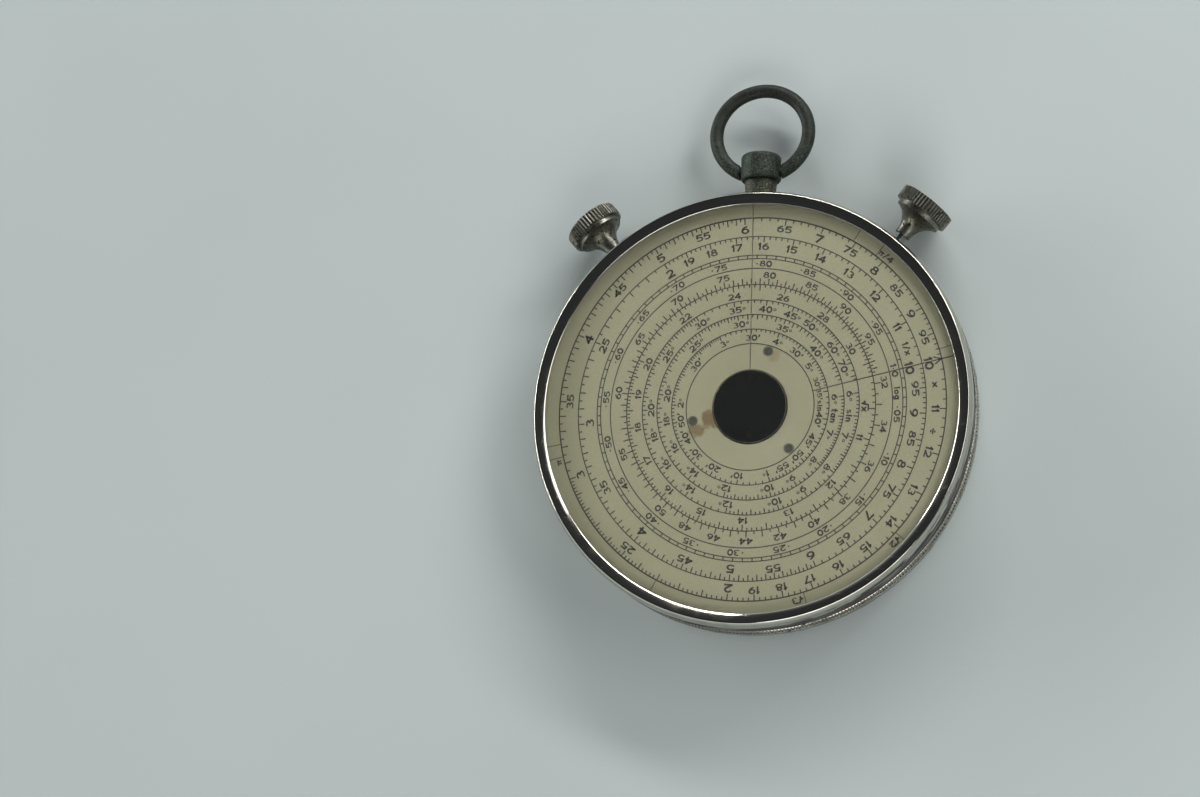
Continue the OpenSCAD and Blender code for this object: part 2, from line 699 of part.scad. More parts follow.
case_band();
back_cover();
front_bezel();
front_glass();
glass_ring();
datum_line();
base_plate();
plate_screws();
centre_bearing();
stem_cock();
dial_stem_bush();
cursor_stem_bush();
pendant_neck();
pendant_barrel();
bow();
dial_card();
dial_plate();
dial_wheel();
dial_pipe();
dial_rivets();
cursor_disc();
cursor_hairline();
cursor_screws();
centre_disc();
cursor_arbor();
cursor_wheel();
dial_knob();
dial_stem();
dial_pinion();
cursor_knob();
cursor_stem();
cursor_pinion();
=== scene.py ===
import math
from collections import namedtuple

import bmesh
import bpy
from mathutils import Matrix, Vector


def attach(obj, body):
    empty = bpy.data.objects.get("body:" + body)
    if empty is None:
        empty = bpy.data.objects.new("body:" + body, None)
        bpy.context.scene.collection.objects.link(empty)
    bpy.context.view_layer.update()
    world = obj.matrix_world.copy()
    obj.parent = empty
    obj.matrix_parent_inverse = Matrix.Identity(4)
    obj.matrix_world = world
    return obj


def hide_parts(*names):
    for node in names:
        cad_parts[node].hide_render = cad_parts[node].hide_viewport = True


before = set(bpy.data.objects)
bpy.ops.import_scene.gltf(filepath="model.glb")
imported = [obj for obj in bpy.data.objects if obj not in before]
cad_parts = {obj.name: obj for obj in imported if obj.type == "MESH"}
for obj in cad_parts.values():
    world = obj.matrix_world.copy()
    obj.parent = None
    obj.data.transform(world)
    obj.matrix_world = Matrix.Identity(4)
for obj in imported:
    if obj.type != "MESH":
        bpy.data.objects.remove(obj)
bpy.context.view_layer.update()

# Sizes in millimetres and angles in degrees, as in the CAD
MM = 0.001

# Bezel
CASE_R = 33.5
BEZEL_IN_R = 32.65
BEZEL_Z = 7.45
BEZEL_TOP = 11.9
CROWN_TOP = BEZEL_TOP - 0.6
RIDGE_R = 32.94
# The ridge's corner stands over the top by what its rounding takes off
RIDGE_CORNER_Z = BEZEL_TOP + 0.055
LIP_R = 31.5
LIP_BEVEL_W = 0.36
LIP_TOP = 11.48
LIP_EDGE_Z = 11.29
GLASS_TOP = 11.23

# Band and back
BAND_IN_R = 32.0
BAND_Z = 2.8
BAND_TOP = 7.4
SPIGOT_R = 32.6
SPIGOT_TOP = BAND_TOP + 0.9
GROOVE_R = 32.9
MILL_Z = 4.5
MILL_TOP = 6.4
MILL_DRUM_R = CASE_R - 0.14
MILL_CREST_R = CASE_R - 0.03
MILL_RIDGES = 396
COVER_R = 33.3
COVER_IN_R = 31.85
COVER_TOP = BAND_Z - 0.05
COVER_FLOOR = 0.8
COVER_ROUND = 2.4

# Dial and centre disc
DIAL_R = 32.25
CARD_Z = 9.6
FACE_Z = 9.95
HOLE_R = 5.75
INDEX_TURN = 77.28
RIVET_RING_R = 8.9
RIVET_R = 0.68
RIVET_BODY_R = 0.45
RIVET_HEAD_Z = FACE_Z - 0.15
RIVET_FOOT_TOP = 7.9
RIVET_FOOT_Z = 7.65
CURSOR_Z = 10.15
CENTRE_R = 5.6
CENTRE_Z = 9.25
CENTRE_TOP = CURSOR_Z - 0.02
ENAMEL_R = 5.49
ENAMEL_TOP = CENTRE_TOP - 0.012
CENTRE_RIM_IN_R = 5.5

# Stems, bushes and knobs, with lengths along the stem from the dial's centre
STEM_Z = 5.1
DIAL_AZ = 51.2
CURSOR_AZ = 130.5
BUSH_R = 1.3
BUSH_BORE_R = 0.83
BUSH_END = 33.8
DIAL_BUSH_START = 27.75
CURSOR_BUSH_START = 30.0
KNOB_START = 35.1
KNOB_FACE = KNOB_START + 6.4
KNOB_HEAD = KNOB_FACE - 2.1
KNOB_R = 4.4
KNOB_DRUM_R = 4.14
KNOB_RIM_R = 4.2
KNOB_RIM_IN_R = 3.85
KNOB_DISH_R = 3.75
KNOB_BOSS_R = 3.2
KNOB_BOSS_TOP = KNOB_FACE + 0.15
KNOB_NECK_R = 1.25
KNOB_BORE_R = 0.8
KNURL_RIDGES = 52
SHOULDER_R = 3.7
SHOULDER_H = 0.5
FLARE_R = 3.6

# Pendant and bow
PENDANT_AZ = 90
NECK_START = CASE_R - 1.5
NECK_SPIGOT_R = 1.5
NECK_FOOT_R = 2.2
NECK_TOP_R = 2.5
NECK_TOP = 36.88
BARREL_START = 36.9
BARREL_TOP = 41.1
BARREL_R = 3.1
BARREL_SPIGOT_R = 1.3
BARREL_SPIGOT_L = 1
PIVOT_Y = 38.4
BOW_WIRE_R = 1.05
BOW_R = 7.25
BOW_END_X = 3.25
BOW_END_BEVEL = 0.12
BOW_LEAN = 5
BOW_DOWN_SWEEP, BOW_DOWN_STEPS = 84, 48
BOW_UP_SWEEP, BOW_UP_STEPS = 90, 52
PIN_R = 0.9
PIN_L = 1.4
PIN_IN_BOW = 0.3

TURN = 2 * math.pi
RING_STEPS = 360
DISC_STEPS = 192
SMALL_STEPS = 96
RIVET_STEPS = 40
WIRE_STEPS = 28
CORNER_STEPS = 4
SHARP_ANGLE = math.radians(40)
SAME_PLACE = 1e-7
MIRROR_MERGE = 1e-6
# Share of a ridge's height by which its flanks end below the crest
FLANK_DROP = 0.2


# Mesh helpers

def turned(degrees, axis):
    return Matrix.Rotation(math.radians(degrees), 4, axis)


def everything(bm):
    return bm.verts[:] + bm.edges[:] + bm.faces[:]


def new_verts(geometry):
    return [g for g in geometry if isinstance(g, bmesh.types.BMVert)]


def lathe(points, steps, closed=False):
    """A profile turned about Z. Each point is (radius, height), with a third number where the
    corner is rounded, the length that the rounding takes off each side, and a fourth for its
    steps."""
    bm = bmesh.new()
    verts = [bm.verts.new((p[0] * MM, 0, p[1] * MM)) for p in points]
    for a, b in zip(verts, verts[1:] + verts[:1] if closed else verts[1:]):
        bm.edges.new((a, b))
    for vert, p in zip(verts, points):
        if len(p) > 2:
            bmesh.ops.bevel(bm, geom=[vert], offset=p[2] * MM, offset_type="OFFSET",
                            affect="VERTICES", segments=p[3] if len(p) > 3 else CORNER_STEPS,
                            profile=0.5, material=-1)
    bmesh.ops.spin(bm, geom=bm.verts[:] + bm.edges[:], cent=(0, 0, 0), axis=(0, 0, 1),
                   angle=TURN, steps=steps, use_merge=True)
    bmesh.ops.remove_doubles(bm, verts=bm.verts[:], dist=SAME_PLACE)
    bmesh.ops.recalc_face_normals(bm, faces=bm.faces[:])
    return bm


def ridge_ring(count, foot_r, crest_r, foot_w, crest_w, low, high, slope):
    """Ridges round a drum: one is drawn and capped, then turned round as copies."""
    bm = bmesh.new()
    flank_r = crest_r - FLANK_DROP * (crest_r - foot_r)
    plan = [(foot_r, -foot_w / 2), (flank_r, -crest_w / 2), (crest_r, 0),
            (flank_r, crest_w / 2), (foot_r, foot_w / 2)]
    verts = [bm.verts.new((x * MM, y * MM, low * MM)) for x, y in plan]
    edges = [bm.edges.new(pair) for pair in zip(verts, verts[1:])]
    tops = new_verts(bmesh.ops.extrude_edge_only(bm, edges=edges)["geom"])
    bmesh.ops.translate(bm, verts=tops, vec=(0, 0, (high - low) * MM))
    rise = (crest_r - foot_r) * MM
    middle = (low + high) / 2 * MM
    for vert in bm.verts:
        lean = slope * MM * (vert.co.x - foot_r * MM) / rise
        vert.co.z += lean if vert.co.z < middle else -lean
    for row in (verts, tops):
        bmesh.ops.contextual_create(bm, geom=row)
    bmesh.ops.recalc_face_normals(bm, faces=bm.faces[:])
    inside = Vector((foot_r * MM, 0, middle))
    for face in bm.faces:
        if face.normal.dot(face.calc_center_median() - inside) < 0:
            face.normal_flip()
    bmesh.ops.spin(bm, geom=everything(bm), cent=(0, 0, 0), axis=(0, 0, 1),
                   angle=TURN * (count - 1) / count, steps=count - 1, use_duplicate=True)
    return bm


def arc(r, z, radius, start, end, count):
    """Points of a profile along an arc."""
    angles = [math.radians(start + (end - start) * k / count) for k in range(count + 1)]
    return [(r + radius * math.cos(a), z + radius * math.sin(a)) for a in angles]


def as_mesh(bm, name):
    """Turns a bmesh into a mesh and frees it."""
    mesh = bpy.data.meshes.new(name)
    bm.to_mesh(mesh)
    bm.free()
    return mesh


def joined(first, other):
    """Adds the mesh of another bmesh to the first."""
    spare = as_mesh(other, "spare")
    first.from_mesh(spare)
    bpy.data.meshes.remove(spare)
    return first


def move(bm, matrix):
    bmesh.ops.transform(bm, matrix=matrix, verts=bm.verts[:])
    return bm


def placed(name, data):
    """A new object in the scene."""
    made = bpy.data.objects.new(name, data)
    bpy.context.scene.collection.objects.link(made)
    return made


def piece(bm, name, body, finish, replaces=()):
    """Makes the object of a finished bmesh, rides it on its body and hides the CAD parts that it
    replaces.
    """
    mesh = as_mesh(bm, name)
    mesh.polygons.foreach_set("use_smooth", [True] * len(mesh.polygons))
    mesh.set_sharp_from_angle(angle=SHARP_ANGLE)
    obj = placed(name, mesh)
    for material in finish if isinstance(finish, list) else [finish]:
        mesh.materials.append(material)
    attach(obj, body)
    if replaces:
        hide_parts(*replaces)
    return obj


# Shader helpers

def add(tree, kind, inputs=None, **settings):
    """A shader node with its settings, and its inputs set or linked."""
    made = tree.nodes.new("ShaderNode" + kind)
    for key, value in settings.items():
        setattr(made, key, value)
    for key, value in (inputs or {}).items():
        if isinstance(value, bpy.types.NodeSocket):
            tree.links.new(value, made.inputs[key])
        else:
            made.inputs[key].default_value = value
    return made


def mixed(tree, factor, a, b):
    """A colour between a and b. Sockets 6 and 7 and output 2 are the node's colour ones."""
    return add(tree, "Mix", {0: factor, 6: a, 7: b}, data_type="RGBA").outputs[2]


def calc(tree, operation, a, b):
    return add(tree, "Math", {0: a, 1: b}, operation=operation).outputs[0]


def ramp(tree, value, low, high, to_low=0.0, to_high=1.0):
    """A smooth step from one value to another."""
    limits = {"From Min": low, "From Max": high, "To Min": to_low, "To Max": to_high}
    made = add(tree, "MapRange", {"Value": value, **limits}, interpolation_type="SMOOTHSTEP")
    return made.outputs["Result"]


def noise(tree, place, scale, detail, **more):
    inputs = {"Vector": place, "Scale": scale, "Detail": detail, **more}
    return add(tree, "TexNoise", inputs).outputs["Fac"]


def effect(name, **inputs):
    """A new shader node group with float inputs and one mask as its output."""
    tree = bpy.data.node_groups.new(name, "ShaderNodeTree")
    face = tree.interface
    for label, value in inputs.items():
        made = face.new_socket(name=label, in_out="INPUT", socket_type="NodeSocketFloat")
        made.default_value = value
    face.new_socket(name="Mask", in_out="OUTPUT", socket_type="NodeSocketFloat")
    given = tree.nodes.new("NodeGroupInput").outputs
    wanted = tree.nodes.new("NodeGroupOutput").inputs["Mask"]
    place = tree.nodes.new("ShaderNodeTexCoord").outputs["Object"]
    return tree, given, wanted, place


def blotch_effect():
    """Cloudy patches: 1 inside a patch, 0 outside."""
    tree, given, wanted, place = effect("Blotches", Scale=300, Detail=5, Low=0.45, High=0.6)
    cloud = noise(tree, place, given["Scale"], given["Detail"], Roughness=0.62)
    tree.links.new(ramp(tree, cloud, given["Low"], given["High"]), wanted)
    return tree


def speck_effect():
    """Small round pits of uneven size."""
    tree, given, wanted, place = effect("Specks", Scale=900, Size=0.3)
    cells = add(tree, "TexVoronoi", {"Vector": place, "Scale": given["Scale"], "Randomness": 1.0})
    uneven = ramp(tree, noise(tree, place, given["Scale"], 3.0), 0.42, 0.68, 0.0, 1.7)
    reach = calc(tree, "MULTIPLY", given["Size"], uneven)
    inside = calc(tree, "SUBTRACT", reach, cells.outputs["Distance"])
    tree.links.new(ramp(tree, inside, -0.04, 0.1), wanted)
    return tree


def scratch_effect():
    """Fine hairline scratches in two directions."""
    tree, given, wanted, place = effect("Scratches", Scale=900, Share=0.05)
    edge = calc(tree, "SUBTRACT", 0.7, given["Share"])
    far_edge = calc(tree, "ADD", edge, 0.04)
    lines = []
    for spin, stretch in ((0.6, 0.03), (2.1, 0.045)):
        way = add(tree, "Mapping", {"Vector": place, "Rotation": (0.3, 0.2, spin),
                                    "Scale": (stretch, 1, 1)}).outputs["Vector"]
        lines.append(ramp(tree, noise(tree, way, given["Scale"], 2.0), edge, far_edge))
    tree.links.new(calc(tree, "MAXIMUM", *lines), wanted)
    return tree


BLOTCHES = blotch_effect()
SPECKS = speck_effect()
SCRATCHES = scratch_effect()


class Finish:
    """A material with one Principled shader and short ways to add effects to it."""

    def __init__(self, name, **constants):
        self.material = bpy.data.materials.new(name)
        self.material.use_nodes = True
        self.tree = self.material.node_tree
        self.shader = self.tree.nodes["Principled BSDF"]
        for label, value in constants.items():
            self.shader.inputs[label.replace("_", " ")].default_value = value
        self.place = add(self.tree, "TexCoord").outputs["Object"]

    def axes(self):
        return add(self.tree, "SeparateXYZ", {"Vector": self.place}).outputs

    def times(self, a, b):
        return calc(self.tree, "MULTIPLY", a, b)

    def fade(self, value, start, end, *levels):
        """A smooth step between two places in mm."""
        return ramp(self.tree, value, start * MM, end * MM, *levels)

    def mask(self, group, **values):
        made = add(self.tree, "Group", node_tree=group)
        for label, value in values.items():
            made.inputs[label].default_value = value
        return made.outputs["Mask"]

    def blotches(self, scale, detail, low, high):
        return self.mask(BLOTCHES, Scale=scale, Detail=detail, Low=low, High=high)

    def spot(self, x, y, radius, soft=0.5, ragged=0.3):
        """A round mask on the dial's plane, centre and radius in mm, with a soft and ragged
        edge."""
        rough_edge = ramp(self.tree, noise(self.tree, self.place, 700.0, 4.0), 0.3, 0.7,
                          -ragged, ragged)
        ball = add(self.tree, "Mapping", {
            "Vector": self.place, "Location": (-x / radius, -y / radius, -FACE_Z / radius),
            "Scale": (1 / radius / MM,) * 3}).outputs["Vector"]
        far = add(self.tree, "VectorMath", {0: ball}, operation="LENGTH").outputs["Value"]
        return ramp(self.tree, calc(self.tree, "ADD", far, rough_edge), 1.0, 1.0 - soft)

    def colour(self, base, *layers):
        """Base colour with layers of (mask, colour) over it."""
        tint = base
        for mask, over in layers:
            tint = mixed(self.tree, mask, tint, over)
        self.tree.links.new(tint, self.shader.inputs["Base Color"])

    def level(self, label, value, *layers):
        """One of the shader's values with layers of (mask, change) added."""
        total = value
        for mask, change in layers:
            total = calc(self.tree, "ADD", total, self.times(mask, change))
        self.tree.links.new(total, self.shader.inputs[label])

    def rough(self, value, *layers):
        self.level("Roughness", value, *layers)

    def bump(self, depth, *layers):
        """Bump from layers of (mask, share); depth in mm."""
        total = None
        for mask, share in layers:
            part = self.times(mask, share)
            total = part if total is None else calc(self.tree, "ADD", total, part)
        made = add(self.tree, "Bump", {"Height": total, "Distance": depth * MM, "Strength": 1.0})
        self.tree.links.new(made.outputs["Normal"], self.shader.inputs["Normal"])


def rgb(*levels):
    """A colour as written on screen, 0 to 255, in linear light."""
    linear = [c / 255 / 12.92 if c <= 10 else ((c / 255 + 0.055) / 1.055) ** 2.4 for c in levels]
    return (*linear, 1.0)


# Finishes

def bezel_nickel():
    """Bright nickel, with a painted dark reflection low on the wall, streaked like grime, and
    corroded streaks at the lower right.
    """
    f = Finish("bezel_nickel")
    haze = f.blotches(260, 6, 0.45, 0.7)
    scuffs = f.mask(SCRATCHES, Scale=1300, Share=0.03)
    where = f.axes()
    round_rim = calc(f.tree, "ARCTAN2", where["Y"], where["X"])
    rim = add(f.tree, "CombineXYZ", {"X": f.times(round_rim, 0.007), "Y": where["Z"]})
    streaks = noise(f.tree, rim.outputs["Vector"], 900.0, 4.0)
    lower_right = calc(f.tree, "SUBTRACT", f.times(where["X"], 0.7), f.times(where["Y"], 0.7))
    worn = f.times(f.fade(lower_right, 22, 32), f.fade(where["Z"], CROWN_TOP, CROWN_TOP - 0.5))
    corroded = f.times(worn, ramp(f.tree, streaks, 0.44, 0.5))
    # Painted dark reflection low on the wall, in streaks, reaching higher towards the lower
    # right; it also makes the metal rough and not metallic there.
    rise = f.fade(lower_right, 4, 20, 0.0, 1.4 * MM)
    low = f.fade(calc(f.tree, "SUBTRACT", where["Z"], rise), 9, 8)
    dark_reflection = f.times(low, ramp(f.tree, streaks, 0.3, 0.6, 0.7, 1.0))
    f.colour(rgb(196, 193, 182), (haze, rgb(184, 180, 167)), (dark_reflection, rgb(36, 35, 33)),
             (corroded, rgb(58, 56, 50)))
    f.level("Metallic", 1.0, (dark_reflection, -1.0), (corroded, -0.6))
    f.rough(0.08, (haze, 0.05), (dark_reflection, 0.85), (corroded, 0.5), (scuffs, 0.06))
    f.bump(0.012, (scuffs, -0.2), (corroded, -1.0))
    return f.material


def case_nickel():
    """Duller nickel, with painted shade darkening the groove over the milled strip."""
    f = Finish("case_nickel")
    dull = f.blotches(220, 7, 0.42, 0.66)
    pits = f.mask(SPECKS, Scale=1100, Size=0.24)
    scuffs = f.mask(SCRATCHES, Scale=700, Share=0.05)
    where = f.axes()
    flat = add(f.tree, "CombineXYZ", {"X": where["X"], "Y": where["Y"]}).outputs["Vector"]
    out = add(f.tree, "VectorMath", {0: flat}, operation="LENGTH").outputs["Value"]
    # Painted shade: the groove's wall above the milled strip is darkened, rough and not metallic.
    groove_shade = f.times(f.fade(out, GROOVE_R + 0.35, GROOVE_R + 0.15),
                     f.fade(where["Z"], MILL_TOP - 0.4, MILL_TOP))
    f.colour(rgb(164, 161, 150), (dull, rgb(138, 134, 121)), (pits, rgb(84, 79, 67)),
             (groove_shade, rgb(30, 29, 26)))
    f.level("Metallic", 1.0, (groove_shade, -1.0))
    f.rough(0.2, (dull, 0.16), (pits, 0.3), (scuffs, 0.12), (groove_shade, 0.7))
    f.bump(0.015, (scuffs, -0.4), (pits, -0.8))
    return f.material


def knob_nickel():
    f = Finish("knob_nickel", Metallic=1.0)
    dull = f.blotches(700, 6, 0.42, 0.7)
    pits = f.mask(SPECKS, Scale=2200, Size=0.34)
    f.colour(rgb(128, 127, 117), (dull, rgb(92, 92, 83)), (pits, rgb(52, 51, 45)))
    f.rough(0.36, (dull, 0.1), (pits, 0.2))
    f.bump(0.01, (dull, 0.3), (pits, -1.0))
    return f.material


def bush_brass():
    f = Finish("bush_brass", Metallic=1.0)
    dull = f.blotches(1200, 6, 0.42, 0.62)
    f.colour(rgb(104, 98, 86), (dull, rgb(80, 74, 64)))
    f.rough(0.34, (dull, 0.2))
    f.bump(0.015, (dull, 0.4))
    return f.material


def pendant_brass():
    """Dark brass with green patina and pale bloom, less of them towards the bow's top, and
    bare specks at the foot of the neck."""
    f = Finish("pendant_brass", Metallic=0.5)
    green = f.blotches(620, 7, 0.38, 0.6)
    grains = f.blotches(3400, 4, 0.44, 0.62)
    pale = f.blotches(4600, 3, 0.52, 0.62)
    bare = f.blotches(4300, 5, 0.52, 0.62)
    along = f.axes()["Y"]
    patina = f.times(green, f.fade(along, 52, 40, 0.3, 1.0))
    bloom = f.times(pale, f.fade(along, 46, 39, 0.12, 0.5))
    foot = f.times(bare, f.fade(along, 37.4, 35.6))
    f.colour(rgb(31, 30, 25), (patina, rgb(41, 56, 46)), (f.times(grains, 0.8), rgb(17, 19, 15)),
             (bloom, rgb(98, 109, 94)), (foot, rgb(122, 106, 80)))
    f.rough(0.44, (patina, 0.1), (grains, 0.1))
    f.bump(0.02, (green, 0.4), (grains, -0.9), (pale, 0.3))
    return f.material


def rivet_places():
    for third in range(3):
        at = math.radians(INDEX_TURN + 60 + 120 * third)
        yield RIVET_RING_R * math.sin(at), RIVET_RING_R * math.cos(at)


def dial_card_finish():
    """Cream card with brown stains, and a painted shadow round each rivet."""
    f = Finish("card")
    cloud = f.blotches(90, 6, 0.35, 0.7)
    grain = f.blotches(2600, 4, 0.4, 0.64)
    rim_stain = f.spot(-6.2, -1.8, 1.7)
    left_stain = f.spot(-8.1, -3.3, 1.5)
    top_stain = f.spot(3.5, 7.9, 1.6, soft=0.9)
    # Painted shadow: a dark ring on the card round each rivet.
    rivet_shadow = None
    for x, y in rivet_places():
        edge = f.spot(x, y, RIVET_R + 0.2, soft=0.2, ragged=0.03)
        rivet_shadow = edge if rivet_shadow is None else calc(f.tree, "MAXIMUM", rivet_shadow, edge)
    f.colour(rgb(119, 118, 97), (cloud, rgb(115, 114, 92)), (grain, rgb(116, 115, 94)),
             (f.times(rim_stain, 0.95), rgb(80, 65, 35)),
             (f.times(left_stain, 0.85), rgb(83, 69, 38)),
             (f.times(top_stain, 0.6), rgb(94, 82, 55)),
             (f.times(rivet_shadow, 0.8), rgb(44, 43, 34)))
    f.rough(0.5, (cloud, 0.1), (grain, 0.06))
    f.bump(0.004, (grain, 0.6))
    return f.material


def ink_finish(name, dark, faded):
    f = Finish(name)
    fade = f.blotches(600, 5, 0.4, 0.7)
    f.colour(dark, (fade, faded))
    f.rough(0.45, (fade, 0.15))
    return f.material


def black_enamel():
    f = Finish("black_enamel", Specular_IOR_Level=0.35)
    cloud = f.blotches(330, 6, 0.45, 0.68)
    f.colour(rgb(14, 15, 14), (cloud, rgb(16, 17, 15)))
    f.rough(0.22, (cloud, 0.025))
    f.bump(0.001, (cloud, 0.5))
    return f.material


def rivet_metal():
    f = Finish("rivet_metal", Metallic=0.4)
    dull = f.blotches(1900, 5, 0.4, 0.62)
    f.colour(rgb(59, 62, 54), (dull, rgb(48, 51, 43)))
    f.rough(0.42, (dull, 0.15))
    f.bump(0.008, (dull, 0.5))
    return f.material


def inner_metal(name, light, dark, base_rough):
    f = Finish(name, Metallic=1.0)
    dull = f.blotches(300, 6, 0.42, 0.64)
    tooled = f.mask(SCRATCHES, Scale=1100, Share=0.09)
    f.colour(light, (dull, dark))
    f.rough(base_rough, (dull, 0.15), (tooled, 0.12))
    f.bump(0.01, (tooled, -0.6))
    return f.material


def clear_sheet(name, tint, smear_rough):
    """Clear glass or celluloid with faint smears in its gloss."""
    f = Finish(name, IOR=1.5, Transmission_Weight=1.0, Base_Color=tint)
    f.rough(0.0, (f.blotches(130, 5, 0.5, 0.72), smear_rough))
    return f.material


def floor_finish():
    f = Finish("floor")
    cloud = f.blotches(9, 3, 0.3, 0.75)
    f.colour(rgb(183, 192, 190), (cloud, rgb(179, 188, 187)))
    f.rough(0.75, (cloud, 0.1))
    return f.material


# Pieces

def on_stem(bm, azimuth):
    """Turns Z outwards along a stem at this azimuth, at the stems' height."""
    return move(bm, Matrix.Translation((0, 0, STEM_Z * MM)) @ turned(azimuth, "Z")
                @ turned(90, "Y"))


def make_case():
    nickel = bezel_nickel()
    bezel = lathe([(BEZEL_IN_R, BEZEL_Z), (CASE_R, BEZEL_Z, 0.3), (CASE_R, CROWN_TOP, 0.62, 14),
                   (RIDGE_R, RIDGE_CORNER_Z, 0.2, 8), (LIP_R + LIP_BEVEL_W, LIP_TOP, 0.26, 8),
                   (LIP_R, LIP_EDGE_Z, 0.05), (LIP_R, GLASS_TOP), (BEZEL_IN_R, GLASS_TOP)],
                  RING_STEPS, closed=True)
    piece(bezel, "bezel", "case", nickel, ["front_bezel"])

    nickel = case_nickel()
    band = lathe([(BAND_IN_R, BAND_Z), (CASE_R, BAND_Z, 0.4, 6), (CASE_R, MILL_Z, 0.05),
                  (MILL_DRUM_R, MILL_Z), (MILL_DRUM_R, MILL_TOP, 0.05),
                  (GROOVE_R, MILL_TOP, 0.05), (GROOVE_R, BAND_TOP), (SPIGOT_R, BAND_TOP),
                  (SPIGOT_R, SPIGOT_TOP), (BAND_IN_R, SPIGOT_TOP)], RING_STEPS, closed=True)
    milling = ridge_ring(MILL_RIDGES, MILL_DRUM_R - 0.02, MILL_CREST_R, foot_w=0.46,
                         crest_w=0.2, low=MILL_Z + 0.02, high=MILL_TOP - 0.02, slope=0.08)
    piece(joined(band, milling), "milled_band", "case", nickel, ["case_band"])

    cover = lathe([(0, 0), (COVER_R, 0, COVER_ROUND, 12), (COVER_R, COVER_TOP, 0.12),
                   (COVER_IN_R, COVER_TOP), (COVER_IN_R, COVER_FLOOR), (0, COVER_FLOOR)],
                  RING_STEPS)
    piece(cover, "back", "case", nickel, ["back_cover"])

    dark = bush_brass()
    for owner, azimuth, start in (("dial", DIAL_AZ, DIAL_BUSH_START),
                                  ("cursor", CURSOR_AZ, CURSOR_BUSH_START)):
        bush = lathe([(BUSH_BORE_R, start), (BUSH_R, start), (BUSH_R, BUSH_END, 0.12),
                      (BUSH_BORE_R, BUSH_END, 0.05)], SMALL_STEPS, closed=True)
        piece(on_stem(bush, azimuth), owner + "_collar", "case", dark,
              [owner + "_stem_bush"])


def make_pendant():
    patina = pendant_brass()
    neck = lathe([(0, NECK_START), (NECK_SPIGOT_R, NECK_START), (NECK_SPIGOT_R, CASE_R - 0.6),
                  (NECK_FOOT_R - 0.03, CASE_R - 0.3), (NECK_FOOT_R, CASE_R),
                  (NECK_TOP_R, NECK_TOP, 0.12), (0, NECK_TOP)], SMALL_STEPS)
    piece(on_stem(neck, PENDANT_AZ), "neck", "case", patina, ["pendant_neck"])

    spigot_start = BARREL_START - BARREL_SPIGOT_L
    barrel = lathe([(0, spigot_start), (BARREL_SPIGOT_R, spigot_start),
                    (BARREL_SPIGOT_R, BARREL_START), (BARREL_R, BARREL_START, 0.4, 6),
                    (BARREL_R, BARREL_TOP, 0.6, 8), (0, BARREL_TOP)], SMALL_STEPS)
    piece(on_stem(barrel, PENDANT_AZ), "barrel", "case", patina,
          ["pendant_barrel"])
    piece(make_bow(), "ring_bow", "bow", patina, ["bow"])


def make_bow():
    """A quarter of the ring is swept down and cut flat beside the barrel, then the upper
    quarter is swept up, and both are mirrored."""
    centre = math.sqrt(BOW_R ** 2 - BOW_END_X ** 2)
    hub = Vector((0, centre, 0)) * MM
    bm = bmesh.new()
    side = Matrix.Translation((BOW_R * MM, centre * MM, 0)) @ turned(90, "X")
    bmesh.ops.create_circle(bm, segments=WIRE_STEPS, radius=BOW_WIRE_R * MM, matrix=side)
    section = bm.verts[:] + bm.edges[:]
    bmesh.ops.spin(bm, geom=section, cent=hub, axis=(0, 0, 1),
                   angle=-math.radians(BOW_DOWN_SWEEP), steps=BOW_DOWN_STEPS)
    sliced = bmesh.ops.bisect_plane(bm, geom=everything(bm), plane_co=(BOW_END_X * MM, 0, 0),
                                    plane_no=(1, 0, 0), clear_inner=True)["geom_cut"]
    rim = [g for g in sliced if isinstance(g, bmesh.types.BMEdge)]
    bmesh.ops.contextual_create(bm, geom=rim)
    bmesh.ops.bevel(bm, geom=rim, offset=BOW_END_BEVEL * MM, offset_type="OFFSET",
                    affect="EDGES", segments=3, profile=0.5, material=-1)
    section = [g for g in section if g.is_valid]
    bmesh.ops.spin(bm, geom=section, cent=hub, axis=(0, 0, 1),
                   angle=math.radians(BOW_UP_SWEEP), steps=BOW_UP_STEPS)
    pin_l = PIN_L + BOW_END_X - BARREL_R + PIN_IN_BOW
    pin_at = Matrix.Translation(((BARREL_R - PIN_L + pin_l / 2) * MM, 0, 0)) @ turned(90, "Y")
    bmesh.ops.create_cone(bm, cap_ends=True, segments=WIRE_STEPS, radius1=PIN_R * MM,
                          radius2=PIN_R * MM, depth=pin_l * MM, matrix=pin_at)
    bmesh.ops.mirror(bm, geom=everything(bm), axis="X", merge_dist=MIRROR_MERGE)
    bmesh.ops.remove_doubles(bm, verts=bm.verts[:], dist=SAME_PLACE)
    bmesh.ops.recalc_face_normals(bm, faces=bm.faces[:])
    return move(bm, Matrix.Translation((0, PIVOT_Y * MM, STEM_Z * MM)) @ turned(-BOW_LEAN, "X"))


